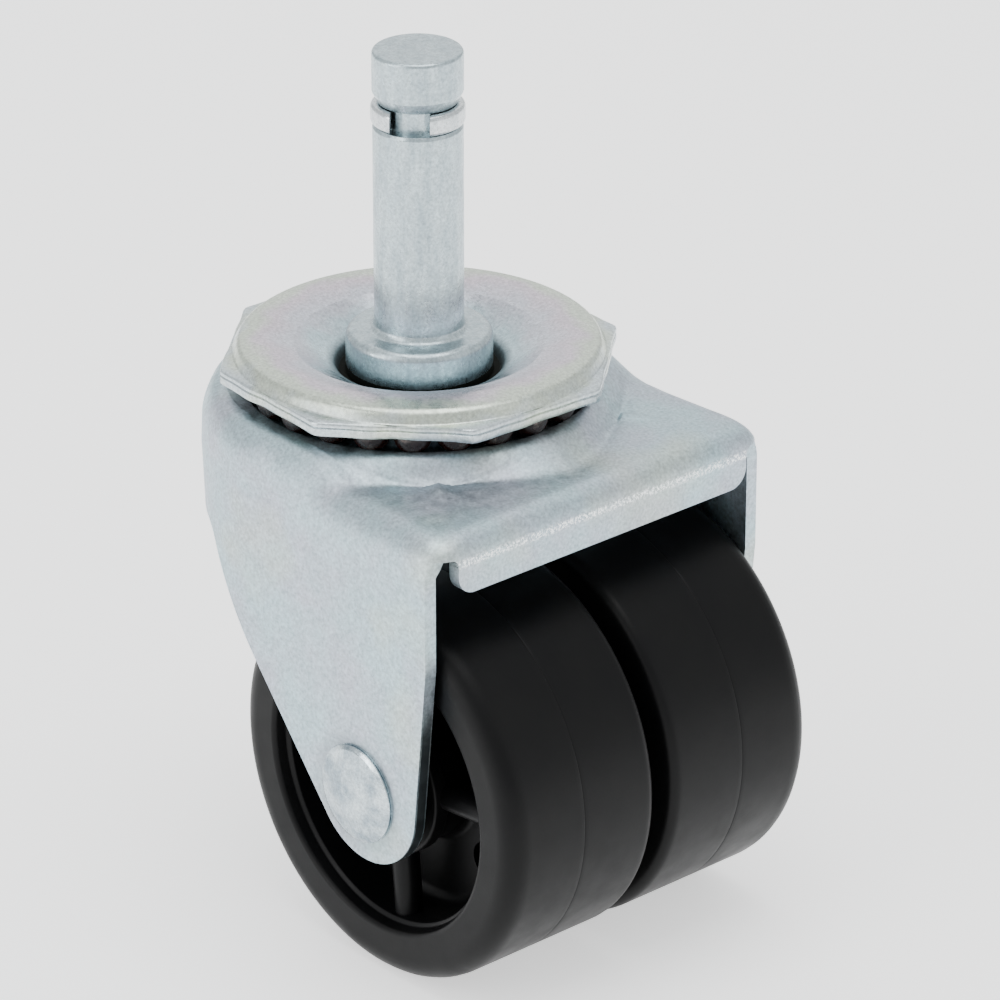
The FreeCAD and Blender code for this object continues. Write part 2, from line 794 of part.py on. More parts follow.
def check_document():
    for thing in doc.Objects:
        for state in ("Invalid", "Error"):
            if state in thing.State:
                raise RuntimeError(f"{thing.Name} is {state}: {thing.getStatusString()}")
    for name, thing in PARTS.items():
        shape = thing.Shape
        if shape.isNull() or not shape.isValid() or not shape.Solids:
            raise RuntimeError(f"{name} has no valid solid")


def write_parts():
    os.makedirs("parts", exist_ok=True)
    for name, thing in PARTS.items():
        thing.Shape.exportStep(f"parts/{name}.step")
        print(f"{name}: {len(thing.Shape.Solids)} solid(s), {thing.Shape.Volume / 1000:.3f} cm3")


make_stem()
make_grip_ring()
make_upper_race()
make_balls("upper_balls", size.upper_track_radius, upper_ball_z)
make_fork()
make_balls("lower_balls", size.lower_track_radius, lower_ball_z)
make_lower_race()
make_rivet()
make_sleeve()
washer_seat = leg_inner - size.washer_thickness * 0.5 - size.washer_play
make_washer("right_washer", washer_seat)
make_washer("left_washer", -washer_seat)
make_washer("centre_washer", as_size(0))
make_wheel("right_wheel", ALONG_RIGHT)
make_wheel("left_wheel", ALONG_LEFT)
doc.recompute()
check_document()
write_parts()
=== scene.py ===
"""Twin-wheel swivel chair caster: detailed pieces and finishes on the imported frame.

The pieces are worked out in millimetres, with the origin on the swivel axis at the stem's seat, Z up the
stem and X towards the front flange, and are laid down in metres in the frame of the CAD.
"""
import math

import bmesh
import bpy
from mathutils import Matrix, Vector


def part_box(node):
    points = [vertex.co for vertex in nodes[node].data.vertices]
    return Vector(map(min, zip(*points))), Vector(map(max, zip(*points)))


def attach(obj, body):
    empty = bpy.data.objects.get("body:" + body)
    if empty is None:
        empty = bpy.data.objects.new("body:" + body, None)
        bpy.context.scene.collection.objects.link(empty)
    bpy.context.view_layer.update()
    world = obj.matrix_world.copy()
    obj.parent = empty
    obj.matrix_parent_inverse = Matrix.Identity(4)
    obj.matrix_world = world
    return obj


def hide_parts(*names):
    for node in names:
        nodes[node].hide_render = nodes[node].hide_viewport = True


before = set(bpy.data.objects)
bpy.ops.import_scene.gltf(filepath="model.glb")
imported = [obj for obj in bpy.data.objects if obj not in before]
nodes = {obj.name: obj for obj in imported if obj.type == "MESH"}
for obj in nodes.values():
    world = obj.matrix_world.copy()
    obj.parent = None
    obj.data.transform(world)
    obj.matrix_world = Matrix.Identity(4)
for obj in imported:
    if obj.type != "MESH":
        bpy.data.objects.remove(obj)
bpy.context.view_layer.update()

MM = 0.001


# ---------------------------------------------------------------- modelling helpers

def clear_selection():
    if bpy.context.mode != "OBJECT":
        bpy.ops.object.mode_set(mode="OBJECT")
    bpy.ops.object.select_all(action="DESELECT")


def pick(piece):
    clear_selection()
    piece.select_set(True)
    bpy.context.view_layer.objects.active = piece


def apply_modifier(piece, kind, **settings):
    pick(piece)
    modifier = piece.modifiers.new(kind.title(), kind)
    for key, value in settings.items():
        setattr(modifier, key, value)
    bpy.ops.object.modifier_apply(modifier=modifier.name)


def smooth(piece, degrees=32):
    """Smooth shading that leaves flat and cylindrical faces true between their rounded edges."""
    pick(piece)
    bpy.ops.object.shade_smooth_by_angle(angle=math.radians(degrees))
    apply_modifier(piece, "WEIGHTED_NORMAL", keep_sharp=True, weight=60)


def between(x, stops):
    """Value at x on the straight runs between (x, value) stops."""
    if x <= stops[0][0]:
        return stops[0][1]
    for (x0, y0), (x1, y1) in zip(stops, stops[1:]):
        if x <= x1:
            return y0 + (y1 - y0) * (x - x0) / (x1 - x0)
    return stops[-1][1]


def ease(t):
    t = min(max(t, 0.0), 1.0)
    return t * t * (3 - 2 * t)


def bump_at(distance, width):
    return math.exp(-(distance / width) ** 2)


def rounded(points, steps=6):
    """Open profile (r, z) or (r, z, radius): corners with a radius become arcs of short runs."""
    out = []
    for k, point in enumerate(points):
        here = Vector(point[:2])
        if len(point) == 2:
            out.append(tuple(here))
            continue
        back = (Vector(points[k - 1][:2]) - here).normalized()
        ahead = (Vector(points[k + 1][:2]) - here).normalized()
        half = back.angle(ahead) / 2
        centre = here + (back + ahead).normalized() * (point[2] / math.sin(half))
        first = here + back * (point[2] / math.tan(half)) - centre
        turn = first.angle_signed(here + ahead * (point[2] / math.tan(half)) - centre)
        for step in range(steps + 1):
            angle = -turn * step / steps
            spun = Vector((first.x * math.cos(angle) - first.y * math.sin(angle),
                           first.x * math.sin(angle) + first.y * math.cos(angle)))
            out.append(tuple(centre + spun))
    return out


def skin(name, loops, capped=False):
    """Skin through a row of loops: the first is drawn, each next one extruded, the ends bridged or capped."""
    clear_selection()
    bpy.ops.mesh.primitive_circle_add(vertices=len(loops[0]), radius=1.0)
    piece = bpy.context.object
    piece.name = piece.data.name = name
    bpy.ops.object.mode_set(mode="EDIT")
    mesh = bmesh.from_edit_mesh(piece.data)
    mesh.verts.ensure_lookup_table()
    place = {vert: k for k, vert in enumerate(mesh.verts)}
    for vert, k in place.items():
        vert.co = Vector(loops[0][k]) * MM
    for loop in loops[1:]:
        bpy.ops.mesh.extrude_edges_move()
        mesh = bmesh.from_edit_mesh(piece.data)
        fresh = {}
        for vert in mesh.verts:
            if vert.select:
                root = next(v for e in vert.link_edges if not (v := e.other_vert(vert)).select)
                fresh[vert] = place[root]
        for vert, k in fresh.items():
            vert.co = Vector(loop[k]) * MM
        place.update(fresh)
        bmesh.update_edit_mesh(piece.data)
    bpy.ops.mesh.select_all(action="DESELECT")
    bpy.ops.mesh.select_mode(type="EDGE")
    mesh = bmesh.from_edit_mesh(piece.data)
    for edge in mesh.edges:
        edge.select_set(edge.is_boundary)
    if capped:
        bpy.ops.mesh.fill_holes(sides=0)
    else:
        bpy.ops.mesh.bridge_edge_loops()
    bpy.ops.mesh.select_all(action="SELECT")
    bpy.ops.mesh.normals_make_consistent(inside=False)
    bpy.ops.object.mode_set(mode="OBJECT")
    return piece


def turned(name, profile, steps, place, capped=False):
    """Lathe-turned piece: place puts (radius, height, angle) of the profile in the frame."""
    angles = [math.tau * k / steps for k in range(steps)]
    return skin(name, [[place(r, h, a) for a in angles] for r, h in profile], capped)


def up_the_stem(r, h, a):
    return (r * math.cos(a), r * math.sin(a), h)


def out_to_the_right(r, h, a):
    return (AXLE_X + r * math.cos(a), -h, AXLE_Z + r * math.sin(a))


def out_to_the_left(r, h, a):
    return (AXLE_X + r * math.cos(a), h, AXLE_Z + r * math.sin(a))


def prism(name, outline, low, high, along=1):
    """Block from low to high along X (0) or Y (1), with its outline in the two other axes."""
    clear_selection()
    bpy.ops.mesh.primitive_circle_add(vertices=len(outline), radius=1.0, fill_type="NGON")
    piece = bpy.context.object
    piece.name = name
    bpy.ops.object.mode_set(mode="EDIT")
    mesh = bmesh.from_edit_mesh(piece.data)
    for vert, (across, z) in zip(mesh.verts, outline):
        vert.co = Vector((across, low, z) if along == 1 else (low, across, z)) * MM
    reach = (high - low) * MM
    bpy.ops.mesh.select_all(action="SELECT")
    bpy.ops.mesh.extrude_region_move(
        TRANSFORM_OT_translate={"value": (0, reach, 0) if along == 1 else (reach, 0, 0)})
    bpy.ops.mesh.select_all(action="SELECT")
    bpy.ops.mesh.normals_make_consistent(inside=False)
    bpy.ops.object.mode_set(mode="OBJECT")
    return piece


def round_block(radius, length, middle, turn, sides=32):
    """Cylinder at its place, used to cut or to join."""
    clear_selection()
    bpy.ops.mesh.primitive_cylinder_add(vertices=sides, radius=radius * MM, depth=length * MM,
                                        location=Vector(middle) * MM, rotation=turn)
    bpy.ops.object.transform_apply()
    return bpy.context.object


def rounded_edges(piece, width, segments, degrees):
    """Break the edges that turn by more than the given angle."""
    apply_modifier(piece, "BEVEL", width=width * MM, segments=segments, limit_method="ANGLE",
                   angle_limit=math.radians(degrees))


def combine(piece, tool, operation):
    """Cut, join or trim a piece with a tool block, which is used up."""
    apply_modifier(piece, "BOOLEAN", object=tool, operation=operation, solver="EXACT")
    bpy.data.objects.remove(tool)


# ---------------------------------------------------------------- sizes, millimetres

fork_low, fork_high = [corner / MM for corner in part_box("fork")]
HALF_WIDTH = fork_high.y    # swivel axis to a leg's outer face
FRONT = fork_high.x         # outer face of the front flange
CUP_TOP = fork_high.z       # highest line of the drawn cup, at the back
LEG_LOW = fork_low.z        # tips of the legs
SHEET = 1.7                 # thickness of the pressing
PLATE = -9.7                # flat front of the plate
FLANGE_LOW = -16.9          # lower edge of the front flange
SKIRT_LOW = -23.0           # lower edge of the rear skirt
BOSS_LIP = -6.9             # lips on both sides of the ball track, and their outer edge
BOSS_EDGE = 22.1
DISC = -8.0                 # disc inside the track, from above and from below
DISC_UNDER = -9.8
STEM_HOLE = 5.6
TRACK_R = 20.2              # upper ball track: pitch radius, height of the balls' centres
TRACK_Z = -5.3
LOWER_TRACK_R = 11.5        # the same for the lower one
LOWER_TRACK_Z = -11.62
GROOVE_R = 2.42             # groove radius of both tracks
RIVET_R = 3.97
SEAT = -4.5                 # underside of the stem's collar, on which the race sits
wheel_low, wheel_high = [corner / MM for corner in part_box("right_wheel")]
WHEEL_FACE = -wheel_low.y
stem_low, stem_high = [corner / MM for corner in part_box("stem")]
LOWER_RACE_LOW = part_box("lower_race")[0].z / MM
LOWER_RACE_TOP = LOWER_RACE_LOW + 2.2
AXLE_X = (wheel_low.x + wheel_high.x) / 2
AXLE_Z = (wheel_low.z + wheel_high.z) / 2
WHEEL_R = (wheel_high.x - wheel_low.x) / 2


# ---------------------------------------------------------------- fork: one pressing
# Its skin is a row of loops round the swivel axis, cut to the side view and slotted at the front.

FORK_STEPS = 432
FORK_ANGLES = [math.radians(360 / FORK_STEPS * k) for k in range(FORK_STEPS)]
WALL_CORNER = 1.75                  # rounding between leg and flange, seen from above
BEND_CORNER = 3.6                   # the same where the plate bends down, wider with the bend
CORNER_GROWTH = 0.6
CREASE_TURN = math.radians(36)      # the two creases of the boss, on both sides of the front


def outline_radius(angle, inset, corner):
    """Plan distance from the swivel axis to the fork's wall, moved inwards, with rounded front corners."""
    half, front = HALF_WIDTH - inset, FRONT - inset
    across, along = abs(math.sin(angle)), math.cos(angle)
    if along <= 0:
        return half
    if across * front <= along * (half - corner):
        return front / along
    if along * half <= across * (front - corner):
        return half / across
    centre = Vector((front - corner, half - corner))
    reach = centre.dot(Vector((along, across)))
    return reach + math.sqrt(max(reach * reach - centre.length_squared + corner * corner, 0.0))


def plate_height(x):
    """The plate is flat at the front and climbs into the round cup."""
    t = min(max(x / 15.0, 0.0), 1.0)
    return CUP_TOP + (PLATE - CUP_TOP) * (0.35 * t + 0.65 * ease(t))


def bend_width(x):
    """How far in from the wall the plate starts to bend down."""
    return between(x, [(-27, 2.9), (-12, 3.1), (-3, 4.0), (3, 4.4), (20, 4.5), (28, 3.7), (33, 3.0)])


def bend_depth(x):
    """How far down the bend ends."""
    return between(x, [(-27, 4.4), (-12, 4.6), (-3, 5.4), (3.5, 6.4), (9, 5.5), (14, 4.7), (20, 4.5),
                       (28, 3.7), (33, 3.0)])


def wall_bulge(x, z):
    """The drawn cup swells a little below its bend and tucks in towards the skirt."""
    share = ease(-x / 18.0)
    return share * between(z, [(-24, 0.4), (-17.4, 0.15), (-13.5, 0.0), (-10.5, 0.2), (-8.8, 0.45)])


def boss_lift(x, radius, angle):
    """How far the boss still stands above the plate: steep at the two creases, a soft slope elsewhere."""
    off = abs(abs(math.atan2(math.sin(angle), math.cos(angle))) - CREASE_TURN)
    width = 3.0 + 4.6 * (1 - bump_at(off, 0.5))
    return (BOSS_LIP - plate_height(x)) * (1 - ease((radius - BOSS_EDGE) / width))


def plate_detail(x, y):
    """Drawing marks: the crease that hugs the boss and the pinched rib that starts in its middle."""
    crease_depth, rib_height = 0.27, 0.7
    angle, radius = math.atan2(y, x), math.hypot(x, y)
    total = 0.0
    for side, strength in ((-1, 1.0), (1, 0.6)):
        off = angle - side * CREASE_TURN
        crease = 25.0 - 5.0 * off * off
        step = ease((radius - crease + 0.12) / 0.3) * (1 - ease((radius - crease - 0.1) / 2.4))
        total -= strength * crease_depth * step * bump_at(off, 0.26)
        run = ease((radius - 25.0) / 0.5) * (1 - ease((radius - 26.0) / 5.0))
        width = between(radius, [(25.2, 1.9), (30.5, 0.5)])
        total += strength * rib_height * run * max(0.0, 1 - abs(off * radius) / width)
    return total


def ring_loop(radius, height, angles=FORK_ANGLES):
    return [(radius * math.cos(a), radius * math.sin(a), height) for a in angles]


def fork_loops():
    # From the stem's hole over the disc and the ball track to the boss's edge.
    disc = rounded([(STEM_HOLE, DISC), (15.2, DISC, 0.8), (16.6, BOSS_LIP, 0.6), (18.4, BOSS_LIP)], 3)
    loops = [ring_loop(r, z) for r, z in disc]
    for degrees in range(-40, 41, 10):
        swing = math.radians(degrees)
        loops.append(ring_loop(TRACK_R + GROOVE_R * math.sin(swing), TRACK_Z - GROOVE_R * math.cos(swing)))
    loops += [ring_loop(21.9, BOSS_LIP), ring_loop(BOSS_EDGE, BOSS_LIP)]

    inner_edge, walls = [], []
    for a in FORK_ANGLES:
        wall = outline_radius(a, 0, WALL_CORNER)
        walls.append((wall * math.cos(a), wall * math.sin(a)))
        width = bend_width(wall * math.cos(a))
        inner_edge.append(outline_radius(a, width, BEND_CORNER + CORNER_GROWTH * width))
    boss_foot = [min(24.5, edge - 0.15) for edge in inner_edge]

    # Over the plate, with close loops where the creases lie.
    shares = [0.03, 0.06, 0.09] + [0.105 + 0.0135 * k for k in range(22)]
    shares += [0.42, 0.47, 0.53, 0.6, 0.68, 0.76, 0.84, 0.92]
    for t in shares:
        loop = []
        for a, edge in zip(FORK_ANGLES, inner_edge):
            radius = BOSS_EDGE + (edge - BOSS_EDGE) * t
            x, y = radius * math.cos(a), radius * math.sin(a)
            height = plate_height(x) + boss_lift(x, radius, a) + plate_detail(x, y) * (1 - t ** 4)
            loop.append((x, y, height))
        loops.append(loop)

    def wall_loop(inset, height_of, corner, lifted=False, skin_inset=0.0):
        """Loop along the wall or the bend, on the outer skin or a sheet's thickness inside it."""
        loop = []
        for a, (x, _) in zip(FORK_ANGLES, walls):
            height = height_of(x)
            rounding = corner - 0.88 * skin_inset + CORNER_GROWTH * (inset(x) - skin_inset)
            radius = outline_radius(a, inset(x) + wall_bulge(x, height), rounding)
            if lifted:
                height += boss_lift(x, radius, a)
            loop.append((radius * math.cos(a), radius * math.sin(a), height))
        return loop

    # Round the bend, down the wall and up again on the inside.
    levels = [-14.5, -16.5, -19, -21.5, -24.5, -30, -40, -50, LEG_LOW - 3]
    bend_steps = 9
    for step in range(bend_steps + 1):
        swing = math.radians(90 * step / bend_steps)
        loops.append(wall_loop(lambda x: bend_width(x) * (1 - math.sin(swing)),
                               lambda x: plate_height(x) - bend_depth(x) * (1 - math.cos(swing)),
                               BEND_CORNER, lifted=True))
    for level in levels:
        loops.append(wall_loop(lambda x: 0.0, lambda x: level, WALL_CORNER))
    for level in reversed(levels):
        loops.append(wall_loop(lambda x: SHEET, lambda x: level, WALL_CORNER, skin_inset=SHEET))
    for step in range(bend_steps, -1, -1):
        swing = math.radians(90 * step / bend_steps)
        loops.append(wall_loop(
            lambda x: SHEET + (bend_width(x) - SHEET) * (1 - math.sin(swing)),
            lambda x: plate_height(x) - SHEET - (bend_depth(x) - SHEET) * (1 - math.cos(swing)),
            BEND_CORNER, skin_inset=SHEET))

    # Under the plate, up into the boss and back to the stem's hole past the lower ball track.
    for t in (0.35, 0.7, 1.0):
        loop = []
        for a, foot, edge in zip(FORK_ANGLES, boss_foot, inner_edge):
            radius = edge + (foot - edge) * t
            x, y = radius * math.cos(a), radius * math.sin(a)
            loop.append((x, y, plate_height(x) - SHEET))
        loops.append(loop)
    for t in (0.25, 0.5, 0.75, 1.0):
        loop = []
        for a, foot in zip(FORK_ANGLES, boss_foot):
            radius = foot + (20.4 - foot) * t
            height = plate_height(foot * math.cos(a)) - SHEET
            height += (DISC_UNDER - height) * ease(t)
            loop.append((radius * math.cos(a), radius * math.sin(a), height))
        loops.append(loop)
    loops.append(ring_loop(13.1, DISC_UNDER))
    for degrees in (-30, -15, 0, 15, 30):
        swing = math.radians(degrees)
        loops.append(ring_loop(LOWER_TRACK_R - GROOVE_R * math.sin(swing),
                               LOWER_TRACK_Z + GROOVE_R * math.cos(swing)))
    loops += [ring_loop(9.9, DISC_UNDER), ring_loop(STEM_HOLE, DISC_UNDER)]
    return loops


def arc(centre, radius, start, end, steps):
    """Points of a circular arc, angles in degrees."""
    return [(centre[0] + radius * math.cos(math.radians(start + (end - start) * k / steps)),
             centre[1] + radius * math.sin(math.radians(start + (end - start) * k / steps)))
            for k in range(steps + 1)]


def tangent_angle(centre, radius, other, other_radius, side):
    """Direction, in degrees, of the outward normal of the line that touches both circles."""
    span = Vector(other) - Vector(centre)
    return math.degrees(math.atan2(span.y, span.x) + side * math.acos((radius - other_radius) / span.length))


def side_outline():
    """Side view of the fork: flange, leg with its rounded tip, and the sweep up to the rear skirt."""
    tip, tip_radius = (AXLE_X + 1.1, AXLE_Z + 0.5), 9.25
    leg_front = FRONT - SHEET
    bend, bend_radius = (leg_front - 16.0, -24.1), 16.0
    lean = tangent_angle(bend, bend_radius, tip, tip_radius, 1)
    rear_round = 4.0
    knee = (-13.05, SKIRT_LOW - rear_round)
    back = tangent_angle(tip, tip_radius, knee, -rear_round, 1)
    points = [(FRONT + 2, 0), (FRONT + 2, FLANGE_LOW), (leg_front, FLANGE_LOW)]
    points += arc(bend, bend_radius, 0, lean, 5)
    points += arc(tip, tip_radius, lean, back - 360 if back > lean else back, 28)
    points += arc(knee, rear_round, (back + 180) % 360, 90, 8)
    points += [(-HALF_WIDTH - 2, SKIRT_LOW), (-HALF_WIDTH - 2, 0)]
    return points


def notch_outline(side):
    """Slot between the leg and the front flange, with the flange's rounded lower corner below it."""
    edge, low, reach = HALF_WIDTH - 3.7, FLANGE_LOW, HALF_WIDTH + 4
    corner, top, top_round = 2.5, PLATE - SHEET - 0.6, 0.9
    points = arc((edge - corner, low + corner), corner, -90, 0, 8)
    points += arc((edge + top_round, top - top_round), top_round, 180, 90, 5)
    points += [(reach, top), (reach, LEG_LOW - 4), (edge - corner, LEG_LOW - 4)]
    return [(side * y, z) for y, z in points]


def make_fork():
    piece = skin("fork_pressing", fork_loops())
    combine(piece, prism("fork_side", side_outline(), -HALF_WIDTH - 2, HALF_WIDTH + 2), "INTERSECT")
    for side in (-1, 1):
        notch = prism("fork_notch", notch_outline(side), FRONT - SHEET - 0.2, FRONT + 2, along=0)
        combine(piece, notch, "DIFFERENCE")
    axle_hole = round_block(RIVET_R, 80, (AXLE_X, 0, AXLE_Z), (math.pi / 2, 0, 0), 64)
    combine(piece, axle_hole, "DIFFERENCE")
    rounded_edges(piece, 0.3, 3, 50)
    smooth(piece, 35)
    return piece


# ---------------------------------------------------------------- upper race: octagonal pressing

RACE_CORNER = 25.4      # swivel axis to a corner of the octagon, and the turn of the first corner in degrees
RACE_TURN = 18.9
RACE_BORE = 5.06        # hole for the kingpin
# The sheared rim, which waves more towards its lower edge: (inset, height, share of the wave).
RACE_RIM = [(0.32, -2.86, 0.4), (0.1, -2.94, 0.6), (0.0, -3.1, 0.7), (0.02, -3.45, 0.8), (0.22, -3.58, 0.8),
            (0.02, -3.74, 0.9), (-0.02, -4.3, 1.0), (0.06, -4.6, 1.0), (0.3, -4.72, 1.0)]
RACE_ANGLES = [math.radians(RACE_TURN + 1.5 * k) for k in range(240)]


def octagon_radius(angle):
    """Sheared outline, with blunt corners and sides that are not quite straight."""
    part = (math.degrees(angle) - RACE_TURN) % 45 - 22.5
    straight = RACE_CORNER * math.cos(math.radians(22.5)) / math.cos(math.radians(part))
    ragged = 0.04 * math.sin(17 * angle + 1.0) + 0.03 * math.sin(31 * angle)
    return min(straight, RACE_CORNER - 0.12) + ragged - 0.05


def edge_sag(angle):
    """The sheared rim waves a little up and down."""
    return 0.10 * math.sin(8 * angle + 0.6) + 0.05 * math.sin(23 * angle + 2.0)


def race_loops():
    # Seat under the collar, narrow groove round it, slope up to the crest, and down to the rim.
    top = rounded([(RACE_BORE, SEAT), (9.15, SEAT), (9.2, -5.5), (10.0, -5.5, 0.25), (10.5, -4.45, 0.9),
                   (15.5, -1.75, 0.5), (16.2, -1.62, 0.5), (19.2, -0.95, 9.0), (22.3, -1.25, 1.3),
                   (23.05, -2.75, 0.4), (23.2, -2.8)], 7)
    loops = [ring_loop(r, z, RACE_ANGLES) for r, z in top[:-1]]
    for inset, height, share in RACE_RIM:
        loops.append([((octagon_radius(a) - inset) * math.cos(a), (octagon_radius(a) - inset) * math.sin(a),
                       height + share * edge_sag(a)) for a in RACE_ANGLES])
    under = [(22.54, -4.7)]
    for degrees in range(75, -45, -10):
        swing = math.radians(degrees)
        under.append((TRACK_R + GROOVE_R * math.sin(swing), TRACK_Z + GROOVE_R * math.cos(swing)))
    under += rounded([(18.3, -3.6), (16.9, -3.6, 2.0), (11.1, -6.4, 2.0), (RACE_BORE, -6.4)], 5)
    return loops + [ring_loop(r, z, RACE_ANGLES) for r, z in under]


def make_race():
    piece = skin("race_pressing", race_loops())
    smooth(piece, 38)
    return piece


# ---------------------------------------------------------------- axle rivet, stem and wheels

def make_rivet():
    """Cold-headed rivet: crowned head with a forging seam on its side, spread tail on the far leg."""
    head_r, seam_r, tail_r = 6.33, 6.12, 5.38
    leg = HALF_WIDTH
    head = rounded([(0.9, leg + 1.65), (2.6, leg + 1.62, 6.0), (5.75, leg + 0.86, 0.9),
                    (6.31, leg + 0.58, 0.12), (head_r, leg + 0.44), (seam_r, leg + 0.38), (seam_r, leg + 0.32),
                    (head_r, leg + 0.26), (head_r, leg + 0.02), (RIVET_R, leg)], 5)
    tail = rounded([(RIVET_R, -leg), (tail_r, -leg), (tail_r, -leg - 0.45, 0.2), (4.7, -leg - 1.2, 0.8),
                    (2.6, -leg - 1.52, 1.5), (0.9, -leg - 1.56)], 5)
    piece = turned("rivet_heading", head + tail, 72, out_to_the_right, capped=True)
    smooth(piece, 35)
    return piece


def make_stem():
    """Turned stem with its head, ring groove, collar and the riveted kingpin tail."""
    top, foot = stem_high.z, stem_low.z
    head_r, groove_r, shank_r, collar_r = 5.6, 4.0, 5.556, 9.1
    pin_r, neck_r, tail_r = 5.0, 4.0, 6.5
    profile = rounded([
        (0.8, top - 0.1), (3.6, top - 0.06), (head_r, top, 0.5), (head_r, top - 5.2, 0.5),
        (4.9, top - 6.6, 0.15), (groove_r, top - 6.6), (groove_r, top - 9.5), (5.3, top - 9.5, 0.12),
        (shank_r, top - 9.9, 0.25), (shank_r, 0, 0.95), (collar_r, 0, 1.1), (collar_r, SEAT), (pin_r, SEAT),
        (pin_r, LOWER_RACE_TOP), (neck_r, LOWER_RACE_TOP), (neck_r, LOWER_RACE_LOW),
        (tail_r, LOWER_RACE_LOW), (tail_r, foot + 1.0, 0.8), (4.6, foot + 0.15, 1.5), (0.8, foot + 0.02)], 6)
    piece = turned("stem_turning", profile, 96, up_the_stem, capped=True)
    smooth(piece, 35)
    return piece


def make_wheel(name, place):
    """Injection-moulded wheel: tread with a faint parting line, stepped recess, hub, pegs and web holes."""
    face, inner = WHEEL_FACE, 1.4
    bore, hub, web_out, web_in = 5.6, 8.8, 16.0, 12.0
    parting = (face + inner) / 2
    profile = rounded([
        # hub, outer side of the web, and the recess's wall with its step
        (bore, 24.1), (7.2, 24.1, 0.4), (7.2, 23.0), (9.4, 23.0, 0.45), (9.4, 21.0, 0.3), (hub, 20.4),
        (hub, web_out, 1.0), (17.9, web_out, 1.5), (18.25, 22.7, 0.3), (18.75, 23.0, 0.3), (19.15, face, 0.7),
        # tread, with the fine groove of the parting line between two close loops
        (22.3, face), (WHEEL_R, face, 2.6), (WHEEL_R, face - 3.1),
        (WHEEL_R, parting + 0.7), (WHEEL_R, parting + 0.16), (WHEEL_R - 0.06, parting),
        (WHEEL_R, parting - 0.16), (WHEEL_R, parting - 0.7), (WHEEL_R, inner + 1.7), (WHEEL_R, inner, 1.3),
        # inner face and inner side of the web
        (23.7, inner), (19.2, inner, 0.8), (18.6, web_in, 1.5), (hub, web_in, 1.0), (hub, 0.65, 0.4),
        (bore, 0.65)], 6)
    wheel = turned(name, profile, 128, place)
    for k in range(4):
        turn = math.radians(5 + 90 * k)
        peg_mid, hole_mid = place(13.2, face - 4.18, turn), place(14.0, 14.0, turn + math.pi / 4)
        combine(wheel, round_block(1.75, 11.0, peg_mid, (0, math.pi / 2 - turn, 0)), "UNION")
        combine(wheel, round_block(2.3, 6.0, hole_mid, (math.pi / 2, 0, 0)), "DIFFERENCE")
    rounded_edges(wheel, 0.25, 2, 48)
    smooth(wheel, 35)
    return wheel


# ---------------------------------------------------------------- finishes

def linear(hex_colour):
    """sRGB hex to the linear colour that shaders take."""
    channels = [int(hex_colour[k:k + 2], 16) / 255 for k in (1, 3, 5)]
    return [c / 12.92 if c <= 0.04045 else ((c + 0.055) / 1.055) ** 2.4 for c in channels] + [1.0]


def add(tree, kind, inputs=None, **settings):
    """One shader node with its settings; each input takes a value or the socket that feeds it."""
    made = tree.nodes.new("ShaderNode" + kind)
    for key, value in settings.items():
        setattr(made, key, value)
    for key, value in (inputs or {}).items():
        if isinstance(value, bpy.types.NodeSocket):
            tree.links.new(value, made.inputs[key])
        else:
            made.inputs[key].default_value = value
    return made


def per_mm(size_mm):
    """Noise scale, per metre, of lumps about this many millimetres across."""
    return 1.0 / (size_mm * MM)


def new_finish(name):
    finish = bpy.data.materials.new(name)
    finish.use_nodes = True
    tree = finish.node_tree
    tree.nodes.clear()
    where = add(tree, "TexCoord").outputs["Object"]
    return finish, tree, where


def blend(tree, share, first, second, mode="MIX"):
    """Colour mix; first and second are hex colours or sockets."""
    ends = [linear(c) if isinstance(c, str) else c for c in (first, second)]
    return add(tree, "Mix", {0: share, 6: ends[0], 7: ends[1]}, data_type="RGBA", blend_type=mode).outputs[2]


def spread(tree, value, low, high, out_low, out_high):
    return add(tree, "MapRange", {"Value": value, "From Min": low, "From Max": high,
                                  "To Min": out_low, "To Max": out_high}).outputs["Result"]


def noise(tree, where, size_mm, detail=3.0, roughness=0.5):
    return add(tree, "TexNoise", {"Vector": where, "Scale": per_mm(size_mm), "Detail": detail,
                                  "Roughness": roughness}).outputs["Fac"]


def output(tree, colour, rough, normal, **fixed):
    """Close a finish with its shader; other sockets are named with _ for a space."""
    inputs = {"Base Color": colour, "Roughness": rough, "Normal": normal}
    inputs.update({key.replace("_", " "): value for key, value in fixed.items()})
    shader = add(tree, "BsdfPrincipled", inputs)
    add(tree, "OutputMaterial", {"Surface": shader.outputs["BSDF"]})


def bump(tree, height, depth_mm, strength=1.0, under=None):
    inputs = {"Height": height, "Distance": depth_mm * MM, "Strength": strength}
    if under is not None:
        inputs["Normal"] = under
    return add(tree, "Bump", inputs).outputs["Normal"]


def millimetre(tree, socket):
    """A length in metres read as millimetres."""
    return add(tree, "Math", {0: socket, 1: 1000.0}, operation="MULTIPLY").outputs[0]


def times(tree, first, second):
    return add(tree, "Math", {0: first, 1: second}, operation="MULTIPLY").outputs[0]


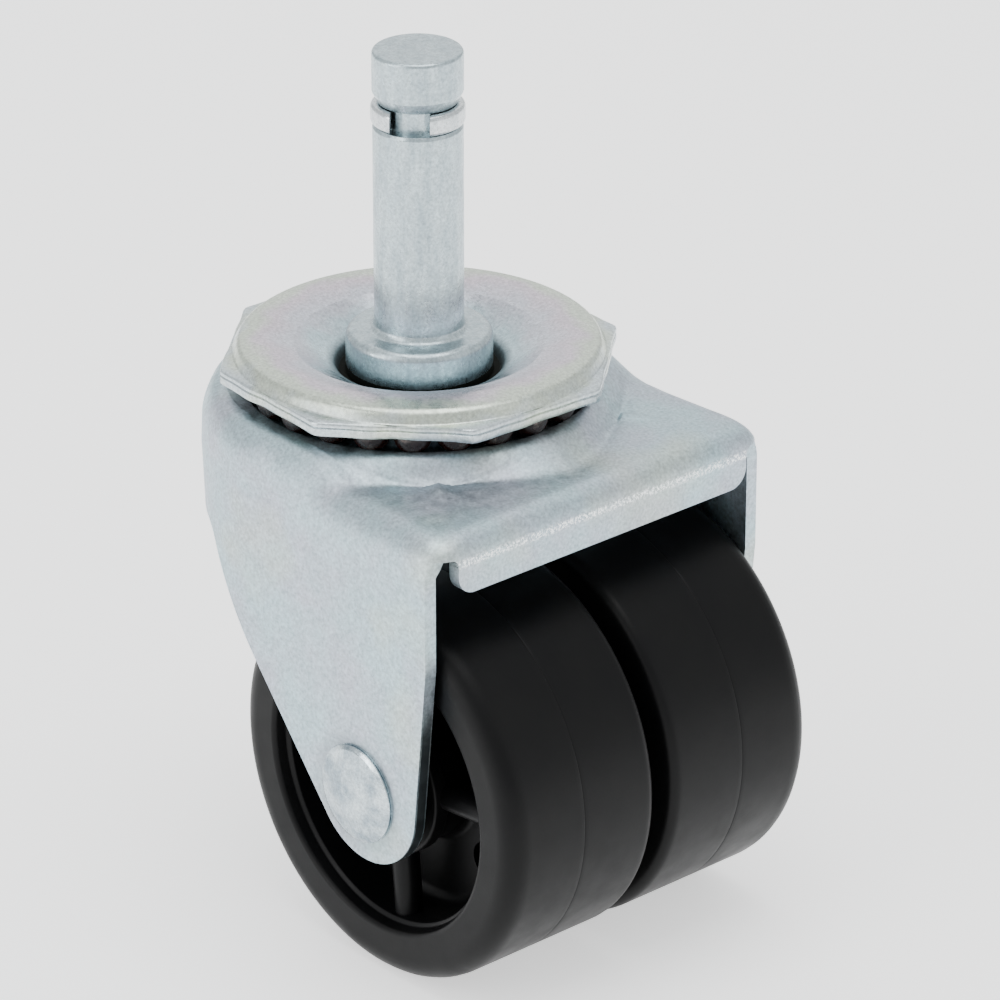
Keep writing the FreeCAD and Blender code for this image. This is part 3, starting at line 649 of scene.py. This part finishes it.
def zinc_grain(tree, where, colour, rough, fine_mm, depth):
    """Crystal grain of electroplated zinc: light and dark specks, and a matching relief.

    The real crystals are a few hundredths of a millimetre, so the grain is drawn about ten times too
    coarse to show at all.
    """
    fine = noise(tree, where, fine_mm, 3.0, 0.65)
    coarse = noise(tree, where, fine_mm * 3.2, 2.0)
    shade = spread(tree, fine, 0.3, 0.7, 0.74, 1.22)
    grey = add(tree, "CombineColor", {0: shade, 1: shade, 2: shade}).outputs[0]
    colour = blend(tree, 1.0, colour, grey, "MULTIPLY")
    uneven = spread(tree, coarse, 0.35, 0.65, -0.05, 0.06)
    rough = add(tree, "Math", {0: rough, 1: uneven}, operation="ADD").outputs[0]
    normal = bump(tree, fine, depth, 0.7)
    return colour, rough, bump(tree, coarse, depth * 2.5, 0.5, normal)


def sheet_zinc_finish(name):
    """Clear-blue zinc plate on the pressed fork: satin, drifting from blue to mauve and a little green,
    worn bright by rubbing and lit with a painted highlight on the front bend, painted dark along the legs'
    sheared edges as painted shade, pressed in round the rivet with painted shade next to its head."""
    finish, tree, where = new_finish(name)
    cloud = noise(tree, where, 11.0, 3.0, 0.55)
    veil = noise(tree, where, 17.0, 2.0)
    colour = blend(tree, spread(tree, cloud, 0.38, 0.64, 0.0, 1.0), "#A9BEC5", "#B1B8C2")
    colour = blend(tree, spread(tree, veil, 0.52, 0.7, 0.0, 0.7), colour, "#B9C3B9")
    rough = spread(tree, cloud, 0.3, 0.7, 0.42, 0.50)
    colour, rough, normal = zinc_grain(tree, where, colour, rough, 0.42, 0.020)

    # Line along the flange's bend: wear from rubbing, and a painted highlight in near-white colour.
    split = add(tree, "SeparateXYZ", {"Vector": where})
    x, z = millimetre(tree, split.outputs["X"]), millimetre(tree, split.outputs["Z"])
    line = times(tree, spread(tree, z, -13.5, -13.0, 0.0, 1.0), spread(tree, z, -12.5, -12.0, 1.0, 0.0))
    bend = times(tree, spread(tree, x, FRONT - 1.9, FRONT - 1.2, 0.0, 1.0), line)
    scuffs = spread(tree, noise(tree, where, 0.3, 3.0, 0.75), 0.48, 0.58, 0.0, 1.0)
    rubbed_wear_and_painted_highlight = times(tree, bend, scuffs)

    # Painted shade in the middle of the sheared edge, on the lower leg.
    wide = add(tree, "Math", {0: millimetre(tree, split.outputs["Y"])}, operation="ABSOLUTE").outputs[0]
    sheared = times(tree, spread(tree, wide, HALF_WIDTH - 1.68, HALF_WIDTH - 1.5, 0.0, 1.0),
                    spread(tree, wide, HALF_WIDTH - 0.34, HALF_WIDTH - 0.2, 1.0, 0.0))
    sheared = times(tree, sheared, spread(tree, z, -37.0, -31.0, 1.0, 0.0))

    # Ring that the rivet's head pressed into the leg, by distance from the axle: a real dent in the relief,
    # and painted shade that darkens the colour next to the head.
    axle = (AXLE_X * MM, 0.0, AXLE_Z * MM)
    away = add(tree, "VectorMath", {0: where, 1: axle}, operation="SUBTRACT").outputs["Vector"]
    away = add(tree, "VectorMath", {0: away, 1: (1.0, 0.0, 1.0)}, operation="MULTIPLY").outputs["Vector"]
    away = millimetre(tree, add(tree, "VectorMath", {0: away}, operation="LENGTH").outputs["Value"])
    pressed = spread(tree, away, 6.2, 8.4, 1.0, 0.0)
    # Painted shade: the leg's colour darkens towards the rivet's head.
    colour = blend(tree, spread(tree, pressed, 0.0, 1.0, 0.0, 0.45), colour, "#7F8A8E")
    normal = bump(tree, pressed, 0.45, 0.9, normal)
    # Painted highlight with wear from rubbing: near-white colour on the flange's bend.
    colour = blend(tree, rubbed_wear_and_painted_highlight, colour, "#F4F8F8")
    # Painted shade: dark colour on the legs' sheared edges.
    colour = blend(tree, sheared, colour, "#4A5154")
    rough = add(tree, "Mix", {0: rubbed_wear_and_painted_highlight, 2: rough, 3: 0.2}).outputs[0]
    normal = bump(tree, times(tree, bend, noise(tree, where, 0.5, 3.0)), 0.12, 0.9, normal)
    output(tree, colour, rough, normal, Metallic=1.0)
    return finish


def race_zinc_finish(name):
    """Iridescent zinc plate on the pressed race: faint pink and green rings that follow its forming,
    glossier than the fork, with painted shade in the groove round the collar."""
    finish, tree, where = new_finish(name)
    split = add(tree, "SeparateXYZ", {"Vector": where})
    flat = add(tree, "CombineXYZ", {"X": split.outputs["X"], "Y": split.outputs["Y"]}).outputs["Vector"]
    radius = millimetre(tree, add(tree, "VectorMath", {0: flat}, operation="LENGTH").outputs["Value"])
    drift = add(tree, "Math", {0: noise(tree, where, 6.0, 3.0), 1: 7.0, 2: -3.5},
                operation="MULTIPLY_ADD").outputs[0]
    radius = add(tree, "Math", {0: radius, 1: drift}, operation="ADD").outputs[0]
    colour = blend(tree, spread(tree, radius, 12.0, 15.0, 0.0, 1.0), "#AFC4CB", "#BDC0C9")
    # Painted shade: dark colour in the narrow groove round the collar.
    painted_shade_round_collar = add(tree, "VectorMath", {0: flat}, operation="LENGTH").outputs["Value"]
    painted_shade_round_collar = spread(tree, millimetre(tree, painted_shade_round_collar), 9.9, 11.6, 1.0, 0.0)
    colour = blend(tree, spread(tree, radius, 16.0, 18.5, 0.0, 1.0), colour, "#C4BBC4")
    colour = blend(tree, spread(tree, radius, 19.0, 21.0, 0.0, 1.0), colour, "#BFC7BA")
    colour = blend(tree, spread(tree, radius, 22.5, 24.5, 0.0, 1.0), colour, "#BAC4C8")
    colour = blend(tree, painted_shade_round_collar, colour, "#20221F")
    rough = spread(tree, noise(tree, where, 5.0), 0.3, 0.7, 0.24, 0.36)
    colour, rough, normal = zinc_grain(tree, where, colour, rough, 0.40, 0.018)
    rough = add(tree, "Mix", {0: painted_shade_round_collar, 2: rough, 3: 0.8}).outputs[0]
    output(tree, colour, rough, normal, Metallic=1.0)
    return finish


def turned_steel(name, base, shade, rough_low, rough_high, patch_mm=1.3, squash=0.22):
    """Zinc-plated steel, turned or headed: lathe rings, pale streaks along the stem and a fine grain.

    A lathe leaves rings about 0.1 mm apart; they are drawn at about 0.2 mm so that they show.
    """
    finish, tree, where = new_finish(name)
    split = add(tree, "SeparateXYZ", {"Vector": where})
    rings = add(tree, "CombineXYZ", {"Z": split.outputs["Z"]}).outputs["Vector"]
    squashed = add(tree, "VectorMath", {0: where, 1: (1.0, 1.0, squash)},
                   operation="MULTIPLY").outputs["Vector"]
    streak = noise(tree, squashed, patch_mm, 4.0, 0.65)
    colour = blend(tree, spread(tree, streak, 0.36, 0.64, 0.0, 1.0), base, shade)
    rough = spread(tree, streak, 0.3, 0.7, rough_low, rough_high)
    colour, rough, normal = zinc_grain(tree, where, colour, rough, 0.36, 0.018)
    normal = bump(tree, noise(tree, rings, 0.22, 2.0), 0.006, 0.5, normal)
    output(tree, colour, rough, normal, Metallic=1.0)
    return finish


def moulded_nylon(name):
    """Black injection-moulded nylon: even satin skin, spark-eroded grain and a few pale handling scuffs.

    The mould's grain is near 0.1 mm and is drawn at about 0.3 mm so that it shows.
    """
    finish, tree, where = new_finish(name)
    cloud = noise(tree, where, 9.0, 3.0)
    colour = blend(tree, spread(tree, cloud, 0.4, 0.7, 0.0, 1.0), "#060607", "#090909")
    scuff = spread(tree, noise(tree, where, 1.1, 5.0, 0.75), 0.66, 0.74, 0.0, 0.35)
    colour = blend(tree, scuff, colour, "#1C1C1D")
    rough = spread(tree, noise(tree, where, 4.0, 4.0, 0.6), 0.3, 0.7, 0.36, 0.46)
    skin_grain = noise(tree, where, 0.28, 2.0)
    output(tree, colour, rough, bump(tree, skin_grain, 0.010, 0.6), IOR=1.53, Specular_IOR_Level=0.12)
    return finish


def greased_balls(name):
    """Polished bearing balls under brown-red grease that hides most of the steel; the bare steel's colour is
    darkened as painted shade of the gap they sit in.
    """
    finish, tree, where = new_finish(name)
    film = noise(tree, where, 1.8, 3.0, 0.6)
    share = spread(tree, film, 0.32, 0.44, 0.0, 1.0)
    # The bare steel's colour is darkened: painted shade of the gap under the race.
    colour = blend(tree, share, "#5E5653", "#170705")
    rough = spread(tree, film, 0.4, 0.6, 0.14, 0.4)
    bare = spread(tree, film, 0.32, 0.44, 1.0, 0.0)
    output(tree, colour, rough, bump(tree, film, 0.05, 0.4), Metallic=bare)
    return finish


sheet_zinc = sheet_zinc_finish("blue_zinc_on_pressed_steel")
race_zinc = race_zinc_finish("iridescent_zinc_on_race")
bright_steel = turned_steel("turned_zinc_plated_steel", "#B4C2C6", "#A2B1B7", 0.24, 0.36)
spring_steel = turned_steel("bright_spring_steel", "#CFD4D6", "#BCC3C6", 0.20, 0.30)
headed_steel = turned_steel("cold_headed_zinc_plated_steel", "#C2CED2", "#8796A0", 0.15, 0.27,
                            patch_mm=4.0, squash=1.0)
nylon = moulded_nylon("black_moulded_nylon")
grease = greased_balls("greased_bearing_steel")

node_finish = {
    "grip_ring": spring_steel, "upper_balls": grease, "lower_balls": grease,
    "lower_race": race_zinc, "axle_sleeve": bright_steel,
    "right_washer": bright_steel, "left_washer": bright_steel, "centre_washer": bright_steel,
}


def coat(piece, finish):
    piece.data.materials.clear()
    piece.data.materials.append(finish)


for name, finish in node_finish.items():
    coat(nodes[name], finish)


def fit(piece, finish, node, body):
    """Put a detailed piece in the place of its CAD node."""
    coat(piece, finish)
    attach(piece, body)
    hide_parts(node)


fit(make_fork(), sheet_zinc, "fork", "swivel_fork")
fit(make_race(), race_zinc, "upper_race", "stem_assembly")
fit(make_stem(), bright_steel, "stem", "stem_assembly")
fit(make_rivet(), headed_steel, "axle_rivet", "swivel_fork")
fit(make_wheel("right_wheel_moulding", out_to_the_right), nylon, "right_wheel", "right_wheel_body")
fit(make_wheel("left_wheel_moulding", out_to_the_left), nylon, "left_wheel", "left_wheel_body")


# ---------------------------------------------------------------- studio

def make_floor():
    """Pale floor just under the wheels, with a little glow of its own so that it stays pale."""
    clear_selection()
    bpy.ops.mesh.primitive_plane_add(size=6.0, location=(0, 0, (AXLE_Z - WHEEL_R) * MM))
    floor = bpy.context.object
    floor.name = "floor"
    finish, tree, _ = new_finish("pale_studio_floor")
    shader = add(tree, "BsdfPrincipled", {"Base Color": linear("#F4F4F4"), "Roughness": 0.8,
                                          "Emission Color": linear("#FFFFFF"), "Emission Strength": 0.9})
    add(tree, "OutputMaterial", {"Surface": shader.outputs["BSDF"]})
    floor.data.materials.append(finish)


def softbox(name, place, target, width, height, power):
    """Rectangular lamp at its place, turned to its target."""
    data = bpy.data.lights.new(name, "AREA")
    data.shape = "RECTANGLE"
    data.size, data.size_y, data.energy = width, height, power
    lamp = bpy.data.objects.new(name, data)
    lamp.location = place
    lamp.rotation_mode = "QUATERNION"
    lamp.rotation_quaternion = (Vector(target) - Vector(place)).to_track_quat("-Z", "Y")
    bpy.context.scene.collection.objects.link(lamp)


def make_studio():
    world = bpy.data.worlds.new("studio")
    world.use_nodes = True
    world.node_tree.nodes["Background"].inputs["Color"].default_value = linear("#F5F7F8")
    world.node_tree.nodes["Background"].inputs["Strength"].default_value = 1.2
    bpy.context.scene.world = world
    aim = (0.0, 0.0, -0.03)
    # place and target in metres, width and height in metres, power in watts
    softbox("overhead", (0.05, 0.0, 0.9), aim, 0.7, 0.7, 5.2)
    softbox("left_key", (-0.1, -0.9, 0.45), aim, 0.5, 0.9, 3.5)
    softbox("right_fill", (0.9, 0.35, 0.35), aim, 0.5, 0.8, 0.6)
    softbox("spark", (-0.36, -0.90, 0.12), aim, 0.25, 0.25, 1.2)
    softbox("back_panel", (-0.62, 0.55, 0.50), aim, 1.1, 0.8, 1.6)


def make_camera():
    """Long lens from the right and in front, looking down."""
    data = bpy.data.cameras.new("camera")
    data.sensor_width = 36.0
    data.lens = 216.306
    data.clip_start, data.clip_end = 0.05, 20.0
    camera = bpy.data.objects.new("camera", data)
    eye = Vector((0.51193, -0.44164, 0.29864))
    aim = Vector((0.00841, 0.00581, -0.02252))
    camera.location = eye
    camera.rotation_mode = "QUATERNION"
    camera.rotation_quaternion = (aim - eye).to_track_quat("-Z", "Y")
    bpy.context.scene.collection.objects.link(camera)
    bpy.context.scene.camera = camera


make_floor()
make_studio()
make_camera()
clear_selection()
